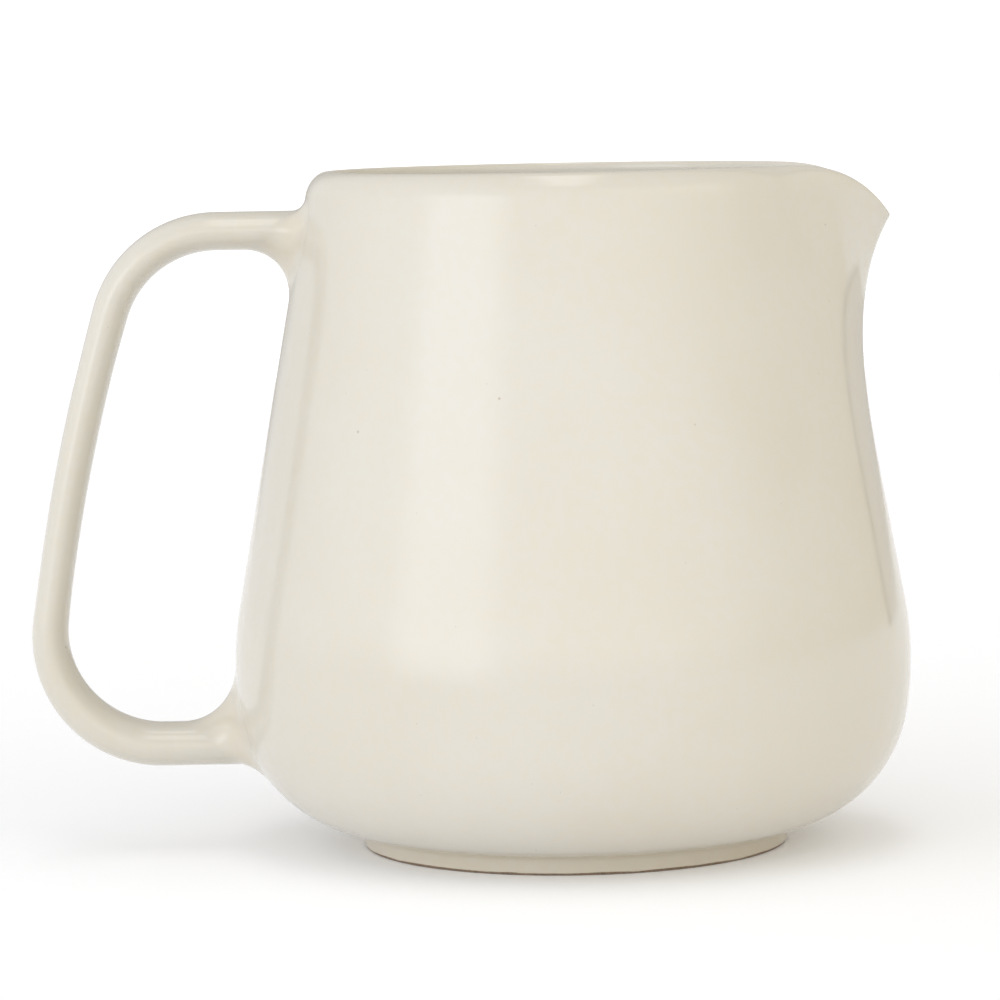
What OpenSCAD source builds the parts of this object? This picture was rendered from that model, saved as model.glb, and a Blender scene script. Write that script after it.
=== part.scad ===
// Ceramic pitcher: a leaning-wall vessel on a foot ring, with a let-in pouring lip and a strap handle.
// Origin: centre of the foot ring's standing face. +Z is up, the lip points along +X, the handle along -X.
// Millimetres and degrees.

/* [Vessel] */
// Height from the table to the crest of the rim
height = 150; // [140:1:160]
// Radius of the belly at its widest
belly_r = 75; // [72:0.5:78]
// Radius, in the profile, of the long arc round the belly
belly_arc = 71; // [62:1:80]
// Angle below the belly's widest point at which the tighter arc of the underside takes over
belly_drop = 10; // [6:1:14]
// Radius, in the profile, of the underside's arc
under_arc = 29.8; // [27:0.2:32]
// Angle from upright at which the wall leans in above the belly
wall_lean = 10.3; // [9:0.1:11.5]
// Thickness of the wall and the floor
wall = 5; // [4.5:0.25:5.5]

/* [Rim] */
// How far the rim's rounding runs down the outside
rim_drop = 5.2; // [3.5:0.1:6]
// How much of the wall's thickness the outer rounding takes
rim_inset = 3.9; // [3:0.1:4.1]
// How far the rounding runs down the inside
rim_inner_drop = 2; // [1:0.1:3]

/* [Foot] */
// Height of the foot ring, and of the hollow under the floor
foot_h = 4; // [3:0.25:5]
// Width of the foot ring's standing face and its two bevels
foot_w = 6; // [5:0.5:8]
// Bevel along the foot ring's two lower edges
foot_bevel = 0.6; // [0.3:0.1:1]

/* [Spout] */
// Height at which the lip starts to swell out of the wall
spout_z = 84; // [76:1:95]
// Half of the angle that the lip takes round the rim
spout_half = 36; // [30:1:40]
// How far the nose of the lip stands out beyond the rim
spout_reach = 15.8; // [12:0.2:18]
// How far the nose of the lip lies below the rim
spout_dip = 11.1; // [6:0.1:13]
// How steeply the swelling grows towards the top: a higher number gives a lower, sharper curve
spout_rise = 2.37; // [2:0.01:3]
// Half of the angle over which the nose is rounded
spout_nose = 3; // [2:0.5:5]
// Thickness of the wall at the nose
nose_wall = 3.6; // [3:0.1:4.2]
// How far the rounding runs down the outside of the nose
nose_drop = 1.8; // [1.2:0.1:2.5]

/* [Handle] */
// Height of the handle's top run, at its centre line
handle_top = 137.3; // [133:0.1:139]
// Height of its lower run, at its centre line
handle_low = 23.4; // [22:0.1:26]
// Furthest distance of the handle's centre line from the axis
handle_reach = 116.2; // [110:0.2:120]
// Radius of the centre line in both bends
handle_bend = 24.7; // [22:0.1:27]
// Angle from upright at which the grip leaves the upper bend
lean_top = 17; // [14:0.5:20]
// Angle from upright at which the slightly bowed grip meets the lower bend
lean_low = 7.7; // [6:0.1:10]
// Thickness of the grip, seen from the side
grip_t = 7.6; // [7:0.1:9]
// Width of the grip, seen from behind
grip_w = 13.5; // [12:0.5:16]
// Thickness at the upper end
top_t = 8.5; // [8:0.1:10]
// Thickness at the lower end
low_t = 9.7; // [9:0.1:11]
// Width at both ends
end_w = 16; // [14:0.5:18]

/* [Handle joints] */
// Reach of the upper joint's flare over the handle, at its sides and under it
top_flare = [2.5, 7, 12]; // [2:0.5:14]
// Reach of the lower joint's flare over the handle, at its sides and under it
low_flare = [13.5, 8, 4]; // [2:0.5:14]
// Straight length of handle stump that each joint takes in beyond its longest flare
stump = 1.5; // [1:0.5:2]

/* [Hidden] */
glaze = [0.87, 0.86, 0.80];
arc_steps = 16; // chords in each arc of the profile
rim_steps = 8; // chords in each half of the rim's rounding
side = 28; // points round the handle
skin_steps = 16; // rows up the lip's straight wall
fan_steps = 48; // columns across the lip
grip_steps = 8; // rings along the grip
cap_steps = 4; // rings in a joint's face on the wall

// Centres of the profile's arcs, the same for the inside and the outside, and where the wall turns straight
belly_cx = belly_r - belly_arc;
under_cx = belly_cx + (belly_arc - under_arc) * cos(belly_drop);
under_cz = foot_h + under_arc;
belly_z = under_cz + (belly_arc - under_arc) * sin(belly_drop);
lean_z = belly_z + belly_arc * sin(wall_lean);
lean_r = belly_cx + belly_arc * cos(wall_lean);
drop_z = belly_z - belly_arc * sin(belly_drop);
wall_across = wall / cos(wall_lean); // the wall's thickness, measured level

function lerp(a, b, t) = a + (b - a) * t;
function ease(t) = let (c = min(max(t, 0), 1)) c * c * (3 - 2 * c);

// Outer radius of the vessel at height z
function slope_r(z) = lean_r - (z - lean_z) * tan(wall_lean);
function outer_r(z) =
    z > lean_z ? slope_r(z)
    : z > drop_z ? belly_cx + sqrt(belly_arc ^ 2 - (z - belly_z) ^ 2)
    : under_cx + sqrt(under_arc ^ 2 - (z - under_cz) ^ 2);

// Points of an arc round [cx, cz], from angle a to angle b
function arc(cx, cz, r, a, b) =
    [for (i = [0:arc_steps]) let (t = lerp(a, b, i / arc_steps)) [cx + r * cos(t), cz + r * sin(t)]];

// The underside and the belly as one curve, set in from the outer skin by inset
function bowl_curve(inset) = concat(
    arc(under_cx, under_cz, under_arc - inset, -90, -belly_drop),
    [for (i = [1:arc_steps]) arc(belly_cx, belly_z, belly_arc - inset, -belly_drop, wall_lean)[i]]
);

// The rim's rounding, up its outside to the crest and down its inside.
// w runs from 0 at the plain rim to 1 at the nose of the lip.
function level_wall(w, z) = lerp(wall_across, nose_wall, w * lip_u(z) ^ 2);
function rim_outside(w) =
    let (inset = lerp(rim_inset, nose_wall / 2, w), drop = lerp(rim_drop, nose_drop, w))
    [for (i = [0:rim_steps]) let (t = 90 * i / rim_steps, z = height - drop * (1 - sin(t)))
        [slope_r(z) - inset * (1 - cos(t)), z]];
function rim_inside(w) =
    let (
        inset = level_wall(w, height) - lerp(rim_inset, nose_wall / 2, w),
        drop = lerp(rim_inner_drop, nose_drop / 2, w)
    )
    [for (i = [rim_steps - 1:-1:0]) let (t = 90 * i / rim_steps, z = height - drop * (1 - sin(t)))
        [slope_r(z) - level_wall(w, z) + inset * (1 - cos(t)), z]];

// Share of the way up the lip, from 0 at spout_z to 1 at the rim
function lip_u(z) = min(max((z - spout_z) / (height - spout_z), 0), 1);

// Share of the lip's reach at an angle from the nose: 1 at the nose, fading to 0 at the lip's edge
function lip_w(angle) =
    let (far = sqrt(spout_half ^ 2 + spout_nose ^ 2) - spout_nose,
        t = (sqrt(angle ^ 2 + spout_nose ^ 2) - spout_nose) / far)
    max(0, 1 - t) ^ 2;

// One upright section of the lip, before and after it swells
function lip_section(w) =
    let (
        out = rim_outside(w),
        inn = rim_inside(w),
        up = [for (i = [0:skin_steps - 1]) lerp(spout_z, out[0][1], i / skin_steps)],
        down = [for (i = [1:skin_steps]) lerp(inn[rim_steps - 1][1], spout_z, i / skin_steps)]
    )
    concat(
        [for (z = up) [slope_r(z), z]], out, inn,
        [for (z = down) [slope_r(z) - level_wall(w, z), z]]
    );
function swollen(p, w) =
    let (u = lip_u(p[1]))
    [p[0] + spout_reach * w * u ^ spout_rise, p[1] - spout_dip * w ^ 2.3 * u ^ 2.3];

// Closed skin of a stack of rings that all have n points. Each end is a strip of triangles across its ring.
function end_faces(n) = [
    for (i = [0:floor((n - 1) / 2) - 1]) let (j = n - 1 - i)
        each i + 1 < j - 1 ? [[i, i + 1, j], [i + 1, j - 1, j]] : [[i, i + 1, j]]
];
function skin_faces(rings, n) = concat(
    end_faces(n),
    [for (k = [0:rings - 2], i = [0:n - 1]) let (j = (i + 1) % n)
        each [[k * n + i, (k + 1) * n + i, (k + 1) * n + j], [k * n + i, (k + 1) * n + j, k * n + j]]],
    [for (f = end_faces(n)) [for (i = [2:-1:0]) (rings - 1) * n + f[i]]]
);
module skin(rings) {
    polyhedron(
        points = [for (ring = rings) each ring],
        faces = skin_faces(len(rings), len(rings[0])),
        convexity = 6
    );
}

// Centre line of the handle: a level run, a bend, the bowed grip, a second bend and a level run, all tangent.
// A heading is 0 where the line runs out along -X, 90 where it runs down and 180 where it comes back.
head_top = 90 - lean_top;
head_low = 90 - lean_low;
grip_arc = (handle_top - handle_low - handle_bend * (2 - cos(head_top) + cos(head_low)))
    / (cos(head_top) - cos(head_low));
function off(heading) = [-sin(heading), cos(heading)];
centre_low = [handle_bend - handle_reach, handle_low + handle_bend];
centre_grip = centre_low + (handle_bend - grip_arc) * off(head_low);
centre_top = centre_grip + (grip_arc - handle_bend) * off(head_top);
end_top = -outer_r(handle_top - top_t / 2) - max(top_flare) - stump;
end_low = -outer_r(handle_low + low_t / 2) - max(low_flare) - stump;

// Stations along the centre line: [x, z, heading]
function turn(centre, r, from, to, steps) =
    [for (i = [0:steps]) let (h = lerp(from, to, i / steps), p = centre + r * off(h)) [p[0], p[1], h]];
stations = concat(
    [[end_top, handle_top, 0]],
    turn(centre_top, handle_bend, 0, head_top, arc_steps),
    [for (i = [1:grip_steps - 1]) turn(centre_grip, grip_arc, head_top, head_low, grip_steps)[i]],
    turn(centre_low, handle_bend, head_low, 180, arc_steps),
    [[end_low, handle_low, 180]]
);

// How far along the handle each station lies, from -1 at the top end to 1 at the lower end
function steps_to(k) = k == 0 ? [0] : let (before = steps_to(k - 1), a = stations[k - 1], b = stations[k])
    concat(before, before[k - 1] + norm([b[0] - a[0], b[1] - a[1]]));
lengths = steps_to(len(stations) - 1);
function along(k) = 2 * lengths[k] / lengths[len(lengths) - 1] - 1;

// Half thickness and half width of the oval section at a share s from -1 to 1
function oval(s) =
    let (e = ease((abs(s) - 0.25) / 0.65))
    [lerp(grip_t, s < 0 ? top_t : low_t, e) / 2, lerp(grip_w, end_w, e) / 2];

// The oval at a station, seen square to the centre line
function oval_ring(x, z, heading, half) =
    [for (i = [0:side - 1]) let (t = 360 * i / side, d = half[0] * sin(t))
        [x - d * sin(heading), half[1] * cos(t), z + d * cos(heading)]];

// Joint between a level handle end and the vessel's side. half is the oval, flare is [over, beside, under].
// Each ring steps along a quarter circle that leaves the handle level and meets the wall tangentially.
function wall_x(y, z) = -sqrt(outer_r(z) ^ 2 - y ^ 2);
function flare_at(t, flare) =
    let (s = sin(t)) lerp(flare[1], s > 0 ? flare[0] : flare[2], s * s);
function flare_ring(zc, half, flare, a) =
    [for (i = [0:side - 1]) let (
        t = 360 * i / side,
        f = flare_at(t, flare),
        across = [half[0] * cos(t), half[1] * sin(t)] / norm([half[0] * cos(t), half[1] * sin(t)]),
        y = half[1] * cos(t) + f * (1 - cos(a)) * across[0],
        z = zc + half[0] * sin(t) + f * (1 - cos(a)) * across[1]
    ) [wall_x(y, z) - f * (1 - sin(a)), y, z]];
function cap_ring(zc, edge, share) =
    [for (p = edge) let (y = p[1] * share, z = lerp(zc, p[2], share)) [wall_x(y, z), y, z]];
function joint_rings(end_x, zc, half, flare) =
    let (edge = flare_ring(zc, half, flare, 90))
    concat(
        [[for (p = flare_ring(zc, half, flare, 0)) [end_x, p[1], p[2]]]],
        [for (i = [0:rim_steps - 1]) flare_ring(zc, half, flare, 90 * i / rim_steps)],
        [for (i = [0:cap_steps]) cap_ring(zc, edge, 1 - 0.92 * i / cap_steps)]
    );

// Vessel: floor, bowl, leaning wall and rounded rim, with the seat of the lip cut out of the front
module body() {
    outside = concat(bowl_curve(0), rim_outside(0));
    inside = bowl_curve(wall);
    color(glaze) difference() {
        rotate_extrude($fn = 180)
            polygon(concat(
                [[0, foot_h]], outside, rim_inside(0),
                [for (i = [len(inside) - 1:-1:0]) inside[i]], [[0, foot_h + wall]]
            ));
        rotate([0, 0, -spout_half]) rotate_extrude(angle = 2 * spout_half, $fn = 180)
            translate([slope_r(height) / 2, spout_z]) square([belly_r, height]);
    }
}

// Pouring lip: the stretch of wall in that seat, swollen out into a pointed nose
module spout() {
    color(glaze) skin([
        for (k = [0:fan_steps]) let (
            angle = lerp(spout_half, -spout_half, k / fan_steps),
            w = k == 0 || k == fan_steps ? 0 : lip_w(angle)
        )
        [for (p = lip_section(w)) let (q = swollen(p, w)) [q[0] * cos(angle), q[0] * sin(angle), q[1]]]
    ]);
}

// Foot ring: its upper face lies on the floor's underside and on the first chord of the bowl
module foot_ring() {
    shoulder = bowl_curve(0)[1];
    color(glaze) rotate_extrude($fn = 180)
        polygon([
            [shoulder[0] - foot_w + foot_bevel, 0], [shoulder[0] - foot_bevel, 0], [shoulder[0], foot_bevel],
            shoulder, [under_cx, foot_h],
            [shoulder[0] - foot_w, foot_h], [shoulder[0] - foot_w, foot_bevel]
        ]);
}

// Handle: one bent bar of oval section between the two joints
module handle() {
    color(glaze) skin([
        for (k = [len(stations) - 1:-1:0]) let (p = stations[k]) oval_ring(p[0], p[1], p[2], oval(along(k)))
    ]);
}

// Clay collars that blend the handle's two ends into the wall
module handle_upper_joint() {
    color(glaze) skin(joint_rings(end_top, handle_top, [top_t, end_w] / 2, top_flare));
}
module handle_lower_joint() {
    color(glaze) skin(joint_rings(end_low, handle_low, [low_t, end_w] / 2, low_flare));
}

body();
spout();
foot_ring();
handle();
handle_upper_joint();
handle_lower_joint();
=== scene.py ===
"""Looks of the ceramic pitcher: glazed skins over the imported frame, a pale studio and the camera.

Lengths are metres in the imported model's frame: the origin is the centre of the foot ring's standing face,
+Z is up, the pouring lip points along +X and the handle along -X. Angles are degrees unless a name says rad.
Every skin follows the same curves as its CAD node, with far more points and with its true normals.
"""

import math

import bpy
import numpy as np
from mathutils import Matrix, Vector


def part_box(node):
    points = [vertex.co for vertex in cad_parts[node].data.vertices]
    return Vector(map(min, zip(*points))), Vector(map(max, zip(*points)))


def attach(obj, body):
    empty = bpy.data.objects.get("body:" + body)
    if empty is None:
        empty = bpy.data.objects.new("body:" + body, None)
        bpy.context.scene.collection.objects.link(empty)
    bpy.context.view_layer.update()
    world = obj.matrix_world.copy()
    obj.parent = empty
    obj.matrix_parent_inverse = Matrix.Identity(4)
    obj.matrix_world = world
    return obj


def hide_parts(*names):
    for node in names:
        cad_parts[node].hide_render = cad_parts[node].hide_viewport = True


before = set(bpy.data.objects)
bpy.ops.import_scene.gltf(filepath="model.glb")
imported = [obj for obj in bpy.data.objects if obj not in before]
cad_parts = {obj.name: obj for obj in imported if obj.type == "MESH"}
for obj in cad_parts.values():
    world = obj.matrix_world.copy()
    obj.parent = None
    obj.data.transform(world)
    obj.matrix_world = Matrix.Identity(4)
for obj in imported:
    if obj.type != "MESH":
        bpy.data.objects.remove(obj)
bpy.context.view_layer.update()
MM = 0.001

# ---------------------------------------------------------------------------------------------------------
# Sizes. The frame gives the outer ones; the others are the shape values of the CAD design.

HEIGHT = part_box("body")[1].z
BELLY_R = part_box("body")[1].y
FOOT_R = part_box("foot_ring")[1].y

BELLY_ARC = 71 * MM  # radius, in the profile, of the arc round the belly
BELLY_DROP = 10  # angle below the widest point at which the underside's tighter arc takes over
UNDER_ARC = 29.8 * MM
WALL_LEAN = 10.3
WALL = 5 * MM
RIM_DROP = 5.2 * MM
RIM_INSET = 3.9 * MM
RIM_INNER_DROP = 2 * MM

FOOT_H = 4 * MM
FOOT_W = 6 * MM
FOOT_ROUND = 0.5 * MM  # rounding of the two standing edges
GLAZE_EDGE = 0.55 * MM  # height at which the glaze stops above the table
GLAZE_T = 0.12 * MM  # thickness of the glaze where it stops
FOOT_COVE = 1.3 * MM  # radius of the glaze-filled corner between foot ring and underside

# How far the glaze's changes spread over the skin
CREST_THIN = 2.2 * MM
# painted light: how far below the crest the inside's lighter colour fades in
INSIDE_PAINTED_LIGHT_START = 3 * MM
FOOT_POOL = 3 * MM
BOWL_POOL = 4 * MM
COVE_POOL = 1.2 * MM

SPOUT_Z = 84 * MM
SPOUT_HALF = 36
SPOUT_REACH = 15.8 * MM
SPOUT_DIP = 11.1 * MM
SPOUT_RISE = 2.37
SPOUT_DIP_RISE = 2.3
SPOUT_NOSE = 3
NOSE_WALL = 3.6 * MM
NOSE_DROP = 1.8 * MM

HANDLE_TOP = 137.3 * MM
HANDLE_LOW = 23.4 * MM
HANDLE_REACH = 116.2 * MM
HANDLE_BEND = 24.7 * MM
LEAN_TOP = 17
LEAN_LOW = 7.7
GRIP_T = 7.6 * MM
GRIP_W = 13.5 * MM
TOP_T = 8.5 * MM
LOW_T = 9.7 * MM
END_W = 16 * MM
TOP_FLARE = (2.5 * MM, 7 * MM, 12 * MM)  # over, beside and under the handle
LOW_FLARE = (13.5 * MM, 8 * MM, 4 * MM)
STUMP = 1.5 * MM

# How finely the skins are divided
FAN = 56  # columns in each half of the lip
FAN_CROWDING = 1.6  # how much closer together they stand at the nose
ROUND = 192  # columns in the rest of the way round
RIM_ROWS = 16
LIP_ROWS = 36
ARC_ROWS = 32
SIDES = 96  # points round the handle
TOP_RUN_RINGS = 16
LOW_RUN_RINGS = 4
BEND_RINGS = 56
GRIP_RINGS = 64
FLARE_RINGS = 32
STUMP_RINGS = 4
HIDDEN_SHARES = (1.0, 0.6, 0.2)  # sizes of the rings of a joint's face that lie inside the wall
HIDDEN_RINGS = len(HIDDEN_SHARES)
FLAT_STEPS = 12  # on the flat middle of the floor and of the underside
WALL_STEPS = 10  # on the straight wall below the lip

# Camera: where it stands as seen from the point it looks at, and how it is held
CAMERA_DISTANCE = 1.0313
CAMERA_ELEVATION = 5.239
CAMERA_ROLL = -1.054
CAMERA_LENS = 167.2
AIM = Vector((-0.01562, 0, 0.07653))

# ---------------------------------------------------------------------------------------------------------
# The vessel's profile

belly_cx = BELLY_R - BELLY_ARC
drop_rad = math.radians(BELLY_DROP)
lean_rad = math.radians(WALL_LEAN)
under_cx = belly_cx + (BELLY_ARC - UNDER_ARC) * math.cos(drop_rad)
under_cz = FOOT_H + UNDER_ARC
belly_z = under_cz + (BELLY_ARC - UNDER_ARC) * math.sin(drop_rad)
lean_z = belly_z + BELLY_ARC * math.sin(lean_rad)
lean_r = belly_cx + BELLY_ARC * math.cos(lean_rad)
drop_z = belly_z - BELLY_ARC * math.sin(drop_rad)
wall_across = WALL / math.cos(lean_rad)


def lerp(a, b, t):
    return a + (b - a) * t


def ease(t):
    c = np.clip(t, 0, 1)
    return c * c * (3 - 2 * c)


def slope_r(z):
    """Outer radius of the straight, leaning part of the wall."""
    return lean_r - (z - lean_z) * math.tan(lean_rad)


def outer_r(z):
    """Outer radius of the vessel at any height above the foot."""
    belly = belly_cx + np.sqrt(np.maximum(BELLY_ARC**2 - (z - belly_z) ** 2, 0))
    under = under_cx + np.sqrt(np.maximum(UNDER_ARC**2 - (z - under_cz) ** 2, 0))
    return np.where(z > lean_z, slope_r(z), np.where(z > drop_z, belly, under))


def arc(cx, cz, radius, start, stop, steps):
    """Points (r, z) of an arc, its first point left out so that stretches can be joined."""
    t = np.radians(np.linspace(start, stop, steps + 1)[1:])
    return np.stack([cx + radius * np.cos(t), cz + radius * np.sin(t)], axis=1)


def line(start, stop, steps):
    """Points (r, z) of a straight stretch, its first point left out."""
    return np.linspace(start, stop, steps + 1)[1:]


def bowl(inset, steps):
    """Underside and belly from the flat floor up to the leaning wall, set in by inset."""
    under = arc(under_cx, under_cz, UNDER_ARC - inset, -90, -BELLY_DROP, steps)
    belly = arc(belly_cx, belly_z, BELLY_ARC - inset, -BELLY_DROP, WALL_LEAN, steps // 2)
    return np.concatenate([under, belly])


def lip_share(angle):
    """Share of the lip's reach at an angle from its nose: 1 at the nose, 0 at the lip's edge."""
    far = math.hypot(SPOUT_HALF, SPOUT_NOSE) - SPOUT_NOSE
    t = (np.hypot(angle, SPOUT_NOSE) - SPOUT_NOSE) / far
    return np.maximum(0, 1 - t) ** 2


def lip_u(z):
    """Share of the way up the lip, from 0 where it starts to swell to 1 at the rim."""
    return np.clip((z - SPOUT_Z) / (HEIGHT - SPOUT_Z), 0, 1)


def level_wall(w, z):
    return lerp(wall_across, NOSE_WALL, w * lip_u(z) ** 2)


def upper_wall(w):
    """The wall above the lip's start, up the outside, over the rim and down the inside.

    w is the lip's share in each column. Gives r and z as arrays of (row, column)."""
    drop = lerp(RIM_DROP, NOSE_DROP, w)
    inset = lerp(RIM_INSET, NOSE_WALL / 2, w)
    inner_drop = lerp(RIM_INNER_DROP, NOSE_DROP / 2, w)
    inner_inset = level_wall(w, HEIGHT) - inset
    up = np.linspace(0, 1, LIP_ROWS + 1)[:-1, None]
    turn_rad = np.linspace(0, math.pi / 2, RIM_ROWS + 1)[:, None]
    z_up = lerp(SPOUT_Z, HEIGHT - drop, up)
    z_out = HEIGHT - drop * (1 - np.sin(turn_rad))
    z_in = HEIGHT - inner_drop * (1 - np.sin(turn_rad[-2::-1]))
    z_down = lerp(HEIGHT - inner_drop, SPOUT_Z, np.linspace(0, 1, LIP_ROWS + 1)[1:, None])
    r_up = slope_r(z_up)
    r_out = slope_r(z_out) - inset * (1 - np.cos(turn_rad))
    r_in = slope_r(z_in) - level_wall(w, z_in) + inner_inset * (1 - np.cos(turn_rad[-2::-1]))
    r_down = slope_r(z_down) - level_wall(w, z_down)
    z = np.concatenate([z_up, z_out, z_in, z_down])
    r = np.concatenate([r_up, r_out, r_in, r_down])
    u = lip_u(z)
    return r + SPOUT_REACH * w * u**SPOUT_RISE, z - SPOUT_DIP * w**SPOUT_DIP_RISE * u**SPOUT_DIP_RISE


def column_angles():
    """Angles of the upright lines round the vessel: the lip's first, closest together at its nose."""
    share = np.linspace(-1, 1, 2 * FAN + 1)
    fan = SPOUT_HALF * np.sign(share) * np.abs(share) ** FAN_CROWDING
    rest = np.linspace(SPOUT_HALF, 360 - SPOUT_HALF, ROUND + 1)[1:-1]
    return np.concatenate([fan, rest])


def vessel_grid():
    """All the vessel's skin as one grid (row, column, xyz), with the rows at which the lip starts and ends.

    Rows run from the centre of the underside up the outside, over the rim and down to the floor's centre."""
    angles = column_angles()
    w = np.where(np.abs(angles) < SPOUT_HALF, lip_share(angles), 0.0)
    floor_z = FOOT_H + WALL
    outside = np.concatenate([line((0, FOOT_H), (under_cx, FOOT_H), FLAT_STEPS), bowl(0, ARC_ROWS)])
    outside = np.concatenate([outside, line(outside[-1], (slope_r(SPOUT_Z), SPOUT_Z), WALL_STEPS)[:-1]])
    floor_line = line((under_cx, floor_z), (0, floor_z), FLAT_STEPS)[:-1]
    inside = np.concatenate([bowl(WALL, ARC_ROWS)[::-1], floor_line])
    start = (slope_r(SPOUT_Z) - wall_across, SPOUT_Z)
    inside = np.concatenate([line(start, inside[0], WALL_STEPS)[:-1], inside])
    r_upper, z_upper = upper_wall(w)
    wide = np.ones(len(angles))
    r = np.concatenate([outside[:, :1] * wide, r_upper, inside[:, :1] * wide])
    z = np.concatenate([outside[:, 1:] * wide, z_upper, inside[:, 1:] * wide])
    a = np.radians(angles)
    return np.stack([r * np.cos(a), r * np.sin(a), z], axis=2), len(outside), len(outside) + len(r_upper) - 1


# ---------------------------------------------------------------------------------------------------------
# Meshes


def steps_along(points, axis, closed):
    """Direction of a grid's lines along one axis, true to second order where the steps are uneven."""
    ahead = np.roll(points, -1, axis) - points
    behind = np.roll(ahead, 1, axis)
    if not closed:
        ahead = np.moveaxis(ahead, axis, 0)
        behind = np.moveaxis(behind, axis, 0)
        ahead[-1] = 2 * ahead[-2] - ahead[-3]
        behind[0] = 2 * ahead[0] - ahead[1]
        ahead = np.moveaxis(ahead, 0, axis)
        behind = np.moveaxis(behind, 0, axis)
    a = np.linalg.norm(ahead, axis=2, keepdims=True)
    b = np.linalg.norm(behind, axis=2, keepdims=True)
    return ahead * (b / a) + behind * (a / b)


def grid_normals(points, rows_closed=False):
    """Outward normals of a grid whose columns close on themselves."""
    across = steps_along(points, 1, True)
    up = steps_along(points, 0, rows_closed)
    normals = np.cross(across, up)
    return normals / np.linalg.norm(normals, axis=2, keepdims=True)


def grid_quads(rows, columns, stride, columns_closed=True):
    """Quads between neighbouring rows and columns of a grid whose rows are stride numbers apart."""
    count = columns if columns_closed else columns - 1
    row, column = np.meshgrid(np.arange(rows - 1), np.arange(count), indexing="ij")
    after = (column + 1) % columns if columns_closed else column + 1
    a = row * stride + column
    b = row * stride + after
    return np.stack([a, b, b + stride, a + stride], axis=2).reshape(-1, 4)


def end_strip(rim, upwards):
    """Faces that close an outline, laid as a strip between its two sides."""
    faces = []
    low = 0
    high = len(rim) - 1
    while high - low > 1:
        corners = [rim[low], rim[low + 1], rim[high]]
        if high - low > 2:
            corners.insert(2, rim[high - 1])
        faces.append(corners if upwards else corners[::-1])
        low += 1
        high -= 1
    return faces


def make_piece(name, points, skin, normals, caps, marks):
    """A closed mesh. skin faces take the given normals, caps are flat faces that other pieces cover.

    marks gives each named share (0 to 1) for every point, which the materials read."""
    points = np.asarray(points).reshape(-1, 3)
    skin = [list(map(int, face)) for face in skin]
    caps = [list(map(int, face)) for face in caps]
    mesh = bpy.data.meshes.new(name)
    mesh.from_pydata(points.tolist(), [], skin + caps)
    mesh.update()
    mesh.shade_smooth()
    corners = np.array([corner for face in skin for corner in face])
    smooth = np.asarray(normals).reshape(-1, 3)[corners]
    flat = [tuple(mesh.polygons[len(skin) + k].normal) for k, face in enumerate(caps) for _ in face]
    mesh.normals_split_custom_set(smooth.tolist() + flat)
    for mark, values in marks.items():
        attribute = mesh.attributes.new(mark, "FLOAT", "POINT")
        attribute.data.foreach_set("value", np.asarray(values, np.float32).ravel())
    piece = bpy.data.objects.new(name, mesh)
    bpy.context.scene.collection.objects.link(piece)
    return piece


def stand_for(piece, node, material):
    """The piece takes a CAD node's place and finish."""
    piece.data.materials.append(material)
    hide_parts(node)
    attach(piece, "root")


# ---------------------------------------------------------------------------------------------------------
# Body and spout, cut from one grid so that they share every point and normal along the seam


def bump_at(distance, width):
    return np.exp(-((distance / width) ** 2))


def vessel_marks(grid):
    """Where the glaze lies thin, at the rim's crest, where it pools, and the inside, painted lighter as a
    stand-in for light on the inner wall.
    """
    crest = np.argmax(grid[:, :, 2], axis=0)
    steps = np.linalg.norm(np.diff(grid, axis=0, prepend=grid[:1]), axis=2)
    length = np.cumsum(steps, axis=0)
    from_crest = length - np.take_along_axis(length, crest[None, :], axis=0)
    radius = np.hypot(grid[:, :, 0], grid[:, :, 1])
    low = grid[:, :, 2] < FOOT_H + WALL * 0.8
    foot_corner = np.where(low, bump_at(radius - FOOT_R, FOOT_POOL), 0)
    inside = (~low) & (from_crest > 0)
    above_floor = grid[:, :, 2] - FOOT_H - WALL
    bowl_corner = np.where(inside & (radius > under_cx * 0.6), bump_at(above_floor, BOWL_POOL), 0)
    return {
        "thin": bump_at(from_crest, CREST_THIN),
        "pool": np.maximum(foot_corner, 0.5 * bowl_corner),
        # painted light: the inside is made lighter, standing in for light on the inner wall
        "inside": ease(from_crest / INSIDE_PAINTED_LIGHT_START),
    }


def vessel_pieces(glaze):
    grid, lip_start, lip_end = vessel_grid()
    normals = grid_normals(grid)
    marks = vessel_marks(grid)
    body_piece(grid, normals, marks, lip_start, lip_end, glaze)
    fan = slice(0, 2 * FAN + 1)
    part = slice(lip_start, lip_end + 1)
    spout_piece(grid[part, fan], normals[part, fan], {k: v[part, fan] for k, v in marks.items()}, glaze)


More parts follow.
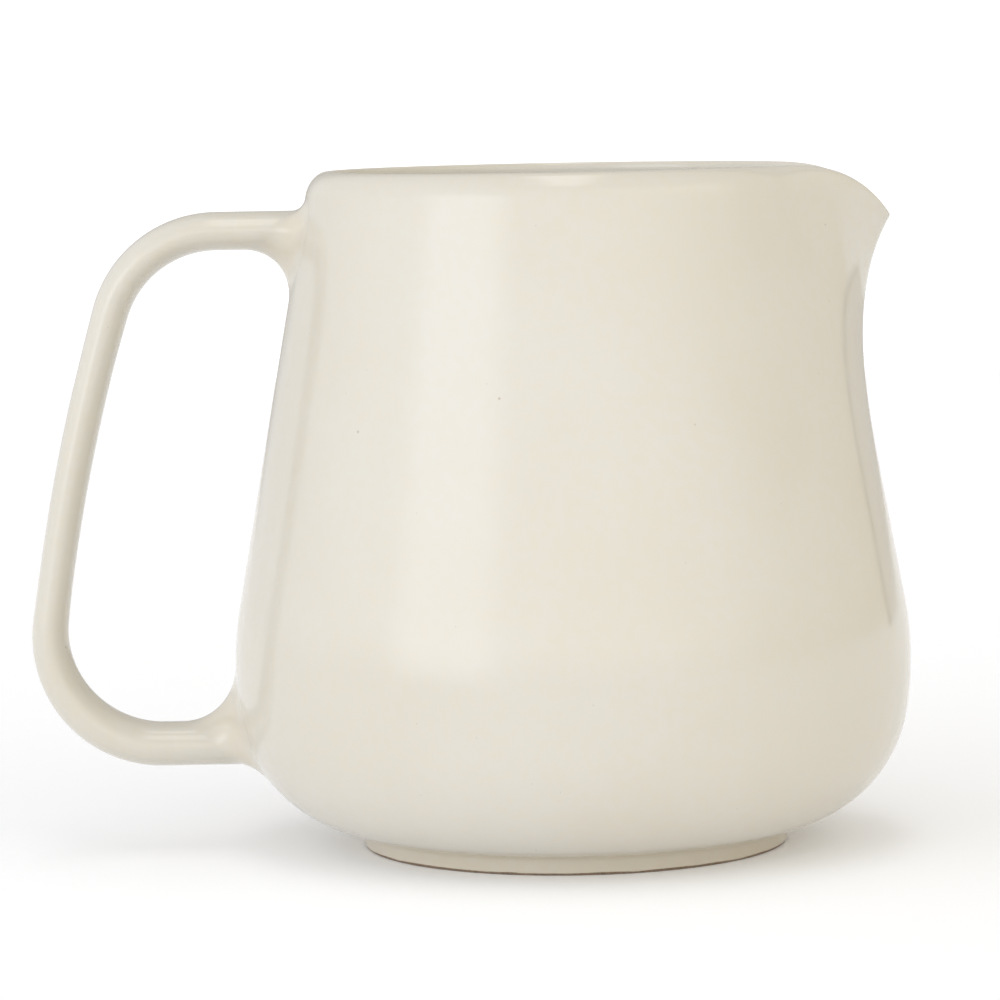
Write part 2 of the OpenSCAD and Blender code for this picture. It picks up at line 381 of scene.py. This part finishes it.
def body_piece(grid, normals, marks, lip_start, lip_end, glaze):
    """The whole vessel less the lip's seat, which is closed by a ledge and two upright faces."""
    rows, columns = grid.shape[:2]
    quads = grid_quads(rows, columns, columns).reshape(rows - 1, columns, 4)
    kept = np.ones((rows - 1, columns), bool)
    kept[lip_start:lip_end, : 2 * FAN] = False
    under_pole = rows * columns
    floor_pole = under_pole + 1
    last = (rows - 1) * columns
    ring = range(columns)
    skin = quads[kept].tolist()
    skin += [[under_pole, (j + 1) % columns, j] for j in ring]
    skin += [[last + j, last + (j + 1) % columns, floor_pole] for j in ring]
    outer = lip_start * columns
    inner = lip_end * columns
    ledge = [[outer + j, outer + j + 1, inner + j + 1, inner + j] for j in range(2 * FAN)]
    upright = [lip_start * columns + k * columns for k in range(lip_end - lip_start + 1)]
    near = end_strip(upright, False)
    far = end_strip([v + 2 * FAN for v in upright], True)
    # Points of the lip's own skin are left out of this piece
    inside = np.zeros((rows, columns), bool)
    inside[lip_start + 1 : lip_end, 1 : 2 * FAN] = True
    points = np.concatenate([grid.reshape(-1, 3), [(0, 0, FOOT_H)], [(0, 0, FOOT_H + WALL)]])
    all_normals = np.concatenate([normals.reshape(-1, 3), [(0, 0, -1)], [(0, 0, 1)]])
    all_marks = {k: np.concatenate([v.ravel(), [0, 0]]) for k, v in marks.items()}
    used = np.concatenate([~inside.ravel(), [True, True]])
    number = np.cumsum(used) - 1
    piece = make_piece(
        "body_glazed",
        points[used],
        [[number[v] for v in face] for face in skin],
        all_normals[used],
        [[number[v] for v in face] for face in ledge + near + far],
        {k: v[used] for k, v in all_marks.items()},
    )
    stand_for(piece, "body", glaze)


def spout_piece(grid, normals, marks, glaze):
    rows, columns = grid.shape[:2]
    skin = grid_quads(rows, columns, columns, columns_closed=False)
    top = (rows - 1) * columns
    ledge = [[top + j, top + j + 1, j + 1, j] for j in range(columns - 1)]
    upright = [k * columns for k in range(rows)]
    near = end_strip(upright, True)
    far = end_strip([v + columns - 1 for v in upright], False)
    piece = make_piece("spout_glazed", grid, skin, normals, ledge + near + far, marks)
    stand_for(piece, "spout", glaze)


# ---------------------------------------------------------------------------------------------------------
# Foot ring


def foot_profile():
    """The ring's outline (r, z): up its outside, under the floor and down its inside, with rounded edges."""
    outer = FOOT_R
    inner = outer - FOOT_W
    bare_outer = outer - GLAZE_T
    bare_inner = inner + GLAZE_T
    sunk = 0.02 * MM  # how far the ring's top reaches into the floor
    cove_cz = under_cz - math.sqrt((UNDER_ARC + FOOT_COVE - sunk) ** 2 - (outer + FOOT_COVE - under_cx) ** 2)
    to_bowl = math.degrees(math.atan2(under_cz - cove_cz, under_cx - outer - FOOT_COVE))
    inner_cz = FOOT_H + sunk - FOOT_COVE
    outline = [
        arc(bare_outer - FOOT_ROUND, FOOT_ROUND, FOOT_ROUND, -90, 0, 10),
        line((bare_outer, FOOT_ROUND), (bare_outer, GLAZE_EDGE), 3),
        arc(outer - GLAZE_T, GLAZE_EDGE + GLAZE_T, GLAZE_T, -90, 0, 6),
        line((outer, GLAZE_EDGE + GLAZE_T), (outer, cove_cz), 6),
        arc(outer + FOOT_COVE, cove_cz, FOOT_COVE, 180, to_bowl, 16),
        line((under_cx, FOOT_H + 4 * sunk), (inner - FOOT_COVE, FOOT_H + sunk), 8),
        arc(inner - FOOT_COVE, inner_cz, FOOT_COVE, 90, 0, 16),
        line((inner, inner_cz), (inner, GLAZE_EDGE + GLAZE_T), 6),
        arc(inner + GLAZE_T, GLAZE_EDGE + GLAZE_T, GLAZE_T, 180, 270, 6),
        line((bare_inner, GLAZE_EDGE), (bare_inner, FOOT_ROUND), 3),
        arc(bare_inner + FOOT_ROUND, FOOT_ROUND, FOOT_ROUND, 180, 270, 10),
        line((bare_inner + FOOT_ROUND, 0), (bare_outer - FOOT_ROUND, 0), 8),
    ]
    return np.concatenate(outline)


def foot_piece(clay):
    outline = foot_profile()
    columns = 2 * FAN + ROUND
    a = np.linspace(0, 2 * math.pi, columns, endpoint=False)
    r = outline[:, :1]
    z = outline[:, 1:] * np.ones(columns)
    grid = np.stack([r * np.cos(a), r * np.sin(a), z], axis=2)
    rows = len(outline)
    quads = grid_quads(rows + 1, columns, columns) % (rows * columns)
    # the pool mark is the glaze pooled in the cove, and at least 0.7 over the whole ring: painted shade and
    # warm bounce light under the belly
    marks = {"thin": np.zeros(z.shape), "pool": np.maximum(0.7, bump_at(z - FOOT_H, COVE_POOL))}
    piece = make_piece("foot_ring_fired", grid, quads, grid_normals(grid, rows_closed=True), [], marks)
    stand_for(piece, "foot_ring", clay)


# ---------------------------------------------------------------------------------------------------------
# Handle and its two joints

head_top = 90 - LEAN_TOP
head_low = 90 - LEAN_LOW
cos_top = math.cos(math.radians(head_top))
cos_low = math.cos(math.radians(head_low))
grip_arc = (HANDLE_TOP - HANDLE_LOW - HANDLE_BEND * (2 - cos_top + cos_low)) / (cos_top - cos_low)


def off(heading):
    """Unit vector (x, z) from a bend's centre to the point where the handle has this heading."""
    rad = np.radians(heading)
    return np.stack([-np.sin(rad), np.cos(rad)], axis=-1)


centre_low = np.array([HANDLE_BEND - HANDLE_REACH, HANDLE_LOW + HANDLE_BEND])
centre_grip = centre_low + (HANDLE_BEND - grip_arc) * off(head_low)
centre_top = centre_grip + (grip_arc - HANDLE_BEND) * off(head_top)
end_top = -float(outer_r(HANDLE_TOP - TOP_T / 2)) - max(TOP_FLARE) - STUMP
end_low = -float(outer_r(HANDLE_LOW + LOW_T / 2)) - max(LOW_FLARE) - STUMP


def turn(centre, radius, start, stop, steps):
    """Stations (x, z, heading) along one bend of the centre line, its first one left out."""
    heading = np.linspace(start, stop, steps + 1)[1:]
    return np.concatenate([centre + radius * off(heading), heading[:, None]], axis=1)


def stations():
    """The centre line of the handle from its upper end to its lower one."""
    run = np.linspace((end_top, HANDLE_TOP, 0), (centre_top[0], HANDLE_TOP, 0), TOP_RUN_RINGS)
    return np.concatenate([
        run,
        turn(centre_top, HANDLE_BEND, 0, head_top, BEND_RINGS),
        turn(centre_grip, grip_arc, head_top, head_low, GRIP_RINGS),
        turn(centre_low, HANDLE_BEND, head_low, 180, BEND_RINGS),
        np.linspace((centre_low[0], HANDLE_LOW, 180), (end_low, HANDLE_LOW, 180), LOW_RUN_RINGS)[1:],
    ])


def oval(share):
    """Half thickness and half width of the section, share running from -1 at the top end to 1."""
    e = ease((np.abs(share) - 0.25) / 0.65)
    end_t = np.where(share < 0, TOP_T, LOW_T)
    return lerp(GRIP_T, end_t, e) / 2, lerp(GRIP_W, END_W, e) / 2


def tube_piece(name, rings, normals, node, glaze, marks):
    """A closed skin over a stack of rings, with a flat face at each end."""
    count, sides = rings.shape[:2]
    skin = grid_quads(count, sides, sides)
    first = list(range(sides))[::-1]
    last = [(count - 1) * sides + i for i in range(sides)]
    piece = make_piece(name, rings, skin, normals, [first, last], marks)
    stand_for(piece, node, glaze)


def handle_piece(glaze):
    line_points = stations()
    steps = np.linalg.norm(np.diff(line_points[:, :2], axis=0), axis=1)
    length = np.concatenate([[0], np.cumsum(steps)])
    half_t, half_w = oval(2 * length / length[-1] - 1)
    t = -np.linspace(0, 2 * math.pi, SIDES, endpoint=False)
    heading = np.radians(line_points[:, 2:])
    d = half_t[:, None] * np.sin(t)
    x = line_points[:, :1] - d * np.sin(heading)
    y = half_w[:, None] * np.cos(t)
    z = line_points[:, 1:2] + d * np.cos(heading)
    edge = np.abs(np.cos(t)) ** 6 * np.ones(x.shape)
    marks = {"thin": 0.45 * edge, "pool": np.zeros(x.shape)}
    rings = np.stack([x, y, z], axis=2)
    tube_piece("handle_glazed", rings, grid_normals(rings), "handle", glaze, marks)


def wall_x(y, z):
    """X of the vessel's outer skin on the handle's side."""
    return -np.sqrt(outer_r(z) ** 2 - y**2)


def joint_normals(rings):
    """Normals of a joint's rings. The hidden face doesn't bend the normals of the flare that shows."""
    normals = grid_normals(rings)
    normals[:-HIDDEN_RINGS] = grid_normals(rings[:-HIDDEN_RINGS])
    return normals


def joint_rings(end_x, centre_z, half_t, half_w, flare):
    """Rings of a joint: its straight stump, the flare on to the wall and the hidden face in the wall."""
    t = np.linspace(0, 2 * math.pi, SIDES, endpoint=False)
    s = np.sin(t)
    reach = lerp(flare[1], np.where(s > 0, flare[0], flare[2]), s * s)
    slope = np.stack([half_t * np.cos(t), half_w * s])
    across = slope / np.linalg.norm(slope, axis=0)
    lift = -0.01 * MM  # lets the feathered edge dip just under the wall's skin, so that it makes no step
    sunk = 0.25 * MM  # depth of the hidden face in the wall

    def ring(rad):
        y = half_w * np.cos(t) + reach * (1 - np.cos(rad)) * across[0]
        z = centre_z + half_t * s + reach * (1 - np.cos(rad)) * across[1]
        return np.stack([wall_x(y, z) - lift - reach * (1 - np.sin(rad)), y, z], axis=1)

    start = ring(0.0)
    rings = []
    for k in range(STUMP_RINGS):
        x = lerp(np.full(SIDES, end_x), start[:, 0], k / STUMP_RINGS)
        rings.append(np.stack([x, start[:, 1], start[:, 2]], axis=1))
    rings += [ring(rad) for rad in np.linspace(0, math.pi / 2, FLARE_RINGS + 1)]
    edge = rings[-1]
    for share in HIDDEN_SHARES:
        y = edge[:, 1] * share
        z = lerp(centre_z, edge[:, 2], share)
        rings.append(np.stack([wall_x(y, z) + sunk, y, z], axis=1))
    return np.stack(rings)


def joint_piece(name, node, end_x, centre_z, thick, flare, glaze):
    rings = joint_rings(end_x, centre_z, thick / 2, END_W / 2, flare)
    count = len(rings)
    rise = np.clip((np.arange(count) - STUMP_RINGS) / FLARE_RINGS, 0, 1)[:, None]
    pool = np.sin(rise * math.pi) ** 2 * np.ones((count, SIDES))
    marks = {"thin": np.zeros((count, SIDES)), "pool": 0.5 * pool}
    tube_piece(name, rings, joint_normals(rings), node, glaze, marks)


# ---------------------------------------------------------------------------------------------------------
# Materials


def node(tree, kind, inputs=None, output=0, **settings):
    """Adds a node and gives one of its outputs. An input is a number, a colour or another node's output."""
    made = tree.nodes.new("ShaderNode" + kind)
    for name, value in settings.items():
        setattr(made, name, value)
    for key, value in (inputs or {}).items():
        if isinstance(value, bpy.types.NodeSocket):
            tree.links.new(value, made.inputs[key])
        else:
            made.inputs[key].default_value = value
    return made.outputs[output]


def maths(tree, operation, a, b=0.0):
    return node(tree, "Math", {0: a, 1: b}, operation=operation)


def ramp(tree, value, low, high, to_low=0.0, to_high=1.0):
    """Smooth step from to_low at low to to_high at high."""
    places = {"Value": value, "From Min": low, "From Max": high, "To Min": to_low, "To Max": to_high}
    return node(tree, "MapRange", places, interpolation_type="SMOOTHSTEP")


def blend(tree, factor, a, b):
    """Mixes two colours."""
    made = tree.nodes.new("ShaderNodeMix")
    made.data_type = "RGBA"
    for key, value in ((0, factor), (6, a), (7, b)):
        if isinstance(value, bpy.types.NodeSocket):
            tree.links.new(value, made.inputs[key])
        else:
            made.inputs[key].default_value = value
    return made.outputs[2]


def rgb(red, green, blue):
    return (red, green, blue, 1.0)


CREAM = rgb(0.63, 0.603, 0.54)
CREAM_WARM = rgb(0.62, 0.587, 0.512)
THIN_GLAZE = rgb(0.57, 0.52, 0.43)
# darker, warmer glaze where it pools; on the foot ring it also serves as painted shade and warm bounce light
POOLED_GLAZE_AND_SHADE = rgb(0.66, 0.56, 0.40)
# the inside's colour, painted lighter than the outer glaze as a stand-in for light on the inner wall
INSIDE_PAINTED_LIGHT = rgb(0.78, 0.755, 0.69)
IRON_SPECK = rgb(0.28, 0.205, 0.125)
# bare fired clay, painted dark brown so that it also serves as the painted contact shadow along the standing
# edge
BARE_CLAY_AND_CONTACT_SHADOW = rgb(0.26, 0.19, 0.13)
CLAY_GRIT = rgb(0.15, 0.10, 0.065)
GLAZE_IOR = 1.52
RELIEF = 0.04 * MM  # height of the glaze's waviness
EDGE_WANDER = 0.12 * MM  # how far the glaze's edge on the foot strays up and down
EDGE_BLUR = 0.06 * MM


def noise(tree, place, scale, detail):
    return node(tree, "TexNoise", {"Vector": place, "Scale": scale, "Detail": detail})


def dots(tree, place, scale, size):
    """Sparse round spots: 1 within size of a cell's own point, 0 outside it."""
    distance = node(tree, "TexVoronoi", {"Vector": place, "Scale": scale})
    return ramp(tree, distance, size * scale, size * scale * 0.4)


def mark(tree, name):
    return node(tree, "Attribute", output="Fac", attribute_name=name)


def new_material(name):
    material = bpy.data.materials.new(name)
    material.use_nodes = True
    tree = material.node_tree
    return material, tree, tree.nodes["Principled BSDF"]


def glaze_colour(tree, place):
    """Cream glaze: slow drifts of tone, thin at edges, deeper where it pools, with a few iron specks. The
    inside is painted lighter, standing in for light on the inner wall; on the foot ring the pool mark is
    also painted shade and warm bounce light.
    """
    drift = ramp(tree, noise(tree, place, 24, 3), 0.35, 0.65)
    colour = blend(tree, drift, CREAM, CREAM_WARM)
    mottle = ramp(tree, noise(tree, place, 420, 4), 0.35, 0.7, 0.0, 0.16)
    colour = blend(tree, mottle, colour, POOLED_GLAZE_AND_SHADE)
    # painted light: the inside is made lighter, standing in for light on the inner wall
    colour = blend(tree, mark(tree, "inside"), colour, INSIDE_PAINTED_LIGHT)
    colour = blend(tree, maths(tree, "MULTIPLY", mark(tree, "thin"), 0.35), colour, THIN_GLAZE)
    # the pool mark: glaze pooled in creases and joints, and on the foot ring also painted shade and warm
    # bounce light
    colour = blend(tree, maths(tree, "MULTIPLY", mark(tree, "pool"), 0.45), colour, POOLED_GLAZE_AND_SHADE)
    large = maths(tree, "MULTIPLY", dots(tree, place, 70, 0.42 * MM), 0.5)
    small = maths(tree, "MULTIPLY", dots(tree, place, 170, 0.2 * MM), 0.3)
    return blend(tree, maths(tree, "MAXIMUM", large, small), colour, IRON_SPECK)


def glaze_relief(tree, place):
    """The glaze's slow waviness and its finer skin, as one height."""
    skin = maths(tree, "MULTIPLY", noise(tree, place, 500, 2), 0.05)
    return maths(tree, "ADD", noise(tree, place, 45, 2), skin)


def glaze_material():
    material, tree, shader = new_material("cream_glaze")
    place = node(tree, "TexCoord", output="Object")
    tree.links.new(glaze_colour(tree, place), shader.inputs["Base Color"])
    roughness = ramp(tree, noise(tree, place, 260, 3), 0.3, 0.7, 0.1, 0.15)
    tree.links.new(roughness, shader.inputs["Roughness"])
    relief = node(tree, "Bump", {"Height": glaze_relief(tree, place), "Distance": RELIEF})
    tree.links.new(relief, shader.inputs["Normal"])
    shader.inputs["IOR"].default_value = GLAZE_IOR
    return material


def foot_material():
    """The same glaze down to a slightly uneven edge, and bare fired clay below it, painted dark so that it
    also carries the contact shadow at the table.
    """
    material, tree, shader = new_material("glaze_over_bare_clay_and_contact_shadow")
    place = node(tree, "TexCoord", output="Object")
    height = node(tree, "SeparateXYZ", {0: place}, output="Z")
    wander = ramp(tree, noise(tree, place, 110, 2), 0.3, 0.7, -EDGE_WANDER, EDGE_WANDER)
    line_z = maths(tree, "ADD", height, wander)
    glazed = ramp(tree, line_z, GLAZE_EDGE - EDGE_BLUR, GLAZE_EDGE + EDGE_BLUR)
    grit = ramp(tree, noise(tree, place, 2600, 3), 0.45, 0.7)
    clay = blend(tree, grit, BARE_CLAY_AND_CONTACT_SHADOW, CLAY_GRIT)
    tree.links.new(blend(tree, glazed, clay, glaze_colour(tree, place)), shader.inputs["Base Color"])
    shine = ramp(tree, noise(tree, place, 260, 3), 0.3, 0.7, 0.12, 0.18)
    matt = ramp(tree, grit, 0, 1, 0.75, 0.95)
    bare = maths(tree, "SUBTRACT", 1.0, glazed)
    glazed_shine = maths(tree, "MULTIPLY", glazed, shine)
    roughness = maths(tree, "ADD", glazed_shine, maths(tree, "MULTIPLY", bare, matt))
    tree.links.new(roughness, shader.inputs["Roughness"])
    smooth = maths(tree, "MULTIPLY", glazed, glaze_relief(tree, place))
    rough = maths(tree, "MULTIPLY", grit, 1.5)
    height_mix = maths(tree, "ADD", smooth, maths(tree, "MULTIPLY", bare, rough))
    relief = node(tree, "Bump", {"Height": height_mix, "Distance": RELIEF})
    tree.links.new(relief, shader.inputs["Normal"])
    shader.inputs["IOR"].default_value = GLAZE_IOR
    return material


# ---------------------------------------------------------------------------------------------------------
# Studio: a floor, and a sky of soft light panels that stand still round the object


def towards(azimuth, elevation):
    """Unit vector from the object. Azimuth 0 is the camera's side and 90 the lip's side."""
    a = math.radians(azimuth)
    e = math.radians(elevation)
    return Vector((math.sin(a) * math.cos(e), -math.cos(a) * math.cos(e), math.sin(e)))


def panel(tree, direction, azimuth, elevation, half_width, half_height, edge):
    """Share of a flat, soft-edged panel in a direction. Its half sizes are for a panel one unit away."""
    ahead = towards(azimuth, elevation)
    across = towards(azimuth + 90, 0)
    upward = ahead.cross(across) if ahead.cross(across).z > 0 else across.cross(ahead)
    depth = node(tree, "VectorMath", {0: direction, 1: ahead}, output="Value", operation="DOT_PRODUCT")
    safe = maths(tree, "MAXIMUM", depth, 0.01)
    shares = [ramp(tree, depth, 0.0, 0.05)]
    for side, half in ((across, half_width), (upward, half_height)):
        offset = node(tree, "VectorMath", {0: direction, 1: side}, output="Value", operation="DOT_PRODUCT")
        distance = maths(tree, "ABSOLUTE", maths(tree, "DIVIDE", offset, safe))
        shares.append(ramp(tree, distance, half + edge, half - edge))
    return maths(tree, "MULTIPLY", maths(tree, "MULTIPLY", shares[0], shares[1]), shares[2])


def facing(tree, direction, azimuth, elevation=0):
    """How far a direction points to one place of the surroundings: 1 right at it, 0 square to it."""
    places = {0: direction, 1: towards(azimuth, elevation)}
    return node(tree, "VectorMath", places, output="Value", operation="DOT_PRODUCT")


# The panels: azimuth, elevation, half width, half height and softness of the edge
SOFTBOX = (52, 33, 0.5, 0.26, 0.2)
GAP = (180, 12, 1.0, 0.75, 0.02)  # dark, round the backdrop: the glaze mirrors it as a line near the outline
BACKDROP = (180, 12, 0.9, 0.65, 0.02)
KEY = (-46, 15, 0.31, 0.24, 0.13)
OVERHEAD = (0, 85, 0.12, 0.5, 0.05)


def studio_light(tree):
    """Colour of the light from each direction: strong and low in front, dim and warm on the lip's side."""
    direction = node(tree, "TexCoord", output="Generated")
    height = node(tree, "SeparateXYZ", {0: direction}, output="Z")
    front = ramp(tree, facing(tree, direction, -15), -0.9, 0.9)
    lip_half = ramp(tree, facing(tree, direction, 90), -0.5, 0.1)
    rear = blend(tree, lip_half, rgb(0.88, 0.88, 0.88), rgb(0.5, 0.52, 0.54))
    horizon = blend(tree, front, rear, rgb(1.15, 1.15, 1.13))
    low = blend(tree, front, rear, rgb(1.8, 1.8, 1.75))
    low = blend(tree, ramp(tree, height, 0.0, 0.24), horizon, low)
    high = blend(tree, front, rgb(0.78, 0.78, 0.78), rgb(1.2, 1.22, 1.22))
    colour = blend(tree, ramp(tree, height, 0.15, 0.5), low, high)
    lip_side = maths(tree, "MULTIPLY", ramp(tree, facing(tree, direction, 105), 0.2, 0.95), 0.85)
    colour = blend(tree, lip_side, colour, rgb(0.8, 0.69, 0.5))
    softbox = panel(tree, direction, *SOFTBOX)
    colour = blend(tree, softbox, colour, rgb(1.6, 1.53, 1.35))
    colour = blend(tree, ramp(tree, height, 0.6, 0.85), colour, rgb(0.7, 0.71, 0.73))
    colour = blend(tree, ramp(tree, height, 0.0, -0.01), colour, rgb(0.95, 0.95, 0.95))
    gap = maths(tree, "MULTIPLY", panel(tree, direction, *GAP), lip_half)
    colour = blend(tree, gap, colour, rgb(0.1, 0.09, 0.08))
    backdrop = maths(tree, "MULTIPLY", panel(tree, direction, *BACKDROP), lip_half)
    colour = blend(tree, backdrop, colour, rgb(0.59, 0.57, 0.54))
    key = panel(tree, direction, *KEY)
    colour = blend(tree, key, colour, rgb(2.75, 2.8, 3.0))
    overhead = panel(tree, direction, *OVERHEAD)
    return blend(tree, overhead, colour, rgb(2.4, 2.35, 2.3))


PLAIN_GROUND = rgb(1.2, 1.2, 1.2)  # what the camera sees behind the object


def studio():
    """The studio's light, which the camera sees as a plain white ground."""
    world = bpy.data.worlds.new("studio")
    bpy.context.scene.world = world
    world.use_nodes = True
    tree = world.node_tree
    tree.nodes.clear()
    lit = node(tree, "Background", {"Color": studio_light(tree), "Strength": 1.0})
    plain = node(tree, "Background", {"Color": PLAIN_GROUND, "Strength": 1.0})
    seen = node(tree, "LightPath", output="Is Camera Ray")
    shown = node(tree, "MixShader", {0: seen, 1: lit, 2: plain})
    output = tree.nodes.new("ShaderNodeOutputWorld")
    tree.links.new(shown, output.inputs["Surface"])
    bpy.context.scene.view_settings.view_transform = "Standard"


TABLE_R = 1.6
TABLE_CORNERS = 96
TABLE_GLOW = 0.14  # light that comes up through the table's sheet, as a share of plain white
SHEET = rgb(0.85, 0.855, 0.87)
SHEET_GRAIN = rgb(0.87, 0.875, 0.89)


def floor_piece():
    """A round white shooting table, level with the foot ring's standing face and faintly lit from below."""
    angles = [2 * math.pi * k / TABLE_CORNERS for k in range(TABLE_CORNERS)]
    points = [(TABLE_R * math.cos(a), TABLE_R * math.sin(a), 0) for a in angles]
    mesh = bpy.data.meshes.new("floor")
    mesh.from_pydata(points, [], [list(range(TABLE_CORNERS))])
    floor = bpy.data.objects.new("floor", mesh)
    bpy.context.scene.collection.objects.link(floor)
    material, tree, shader = new_material("white_sheet")
    place = node(tree, "TexCoord", output="Object")
    grain = ramp(tree, noise(tree, place, 900, 2), 0.3, 0.7)
    tree.links.new(blend(tree, grain, SHEET, SHEET_GRAIN), shader.inputs["Base Color"])
    shader.inputs["Roughness"].default_value = 0.9
    shader.inputs["Specular IOR Level"].default_value = 0.0
    shader.inputs["Emission Color"].default_value = rgb(1, 1, 1)
    shader.inputs["Emission Strength"].default_value = TABLE_GLOW
    mesh.materials.append(material)


def camera():
    tilt = math.radians(CAMERA_ELEVATION)
    roll = math.radians(CAMERA_ROLL)
    ahead = Vector((0, math.cos(tilt), -math.sin(tilt)))
    right = Vector((1, 0, 0))
    upward = right.cross(ahead)
    rolled_right = math.cos(roll) * right + math.sin(roll) * upward
    rolled_up = math.cos(roll) * upward - math.sin(roll) * right
    data = bpy.data.cameras.new("camera")
    data.lens = CAMERA_LENS
    data.sensor_width = 36
    data.clip_start = 0.05
    data.clip_end = 50
    made = bpy.data.objects.new("camera", data)
    bpy.context.scene.collection.objects.link(made)
    turned = Matrix((rolled_right, rolled_up, -ahead)).transposed()
    made.matrix_world = Matrix.Translation(AIM - CAMERA_DISTANCE * ahead) @ turned.to_4x4()
    bpy.context.scene.camera = made


camera()
glaze = glaze_material()
vessel_pieces(glaze)
foot_piece(foot_material())
handle_piece(glaze)
joint_piece("handle_upper_joint_glazed", "handle_upper_joint", end_top, HANDLE_TOP, TOP_T, TOP_FLARE, glaze)
joint_piece("handle_lower_joint_glazed", "handle_lower_joint", end_low, HANDLE_LOW, LOW_T, LOW_FLARE, glaze)
studio()
floor_piece()
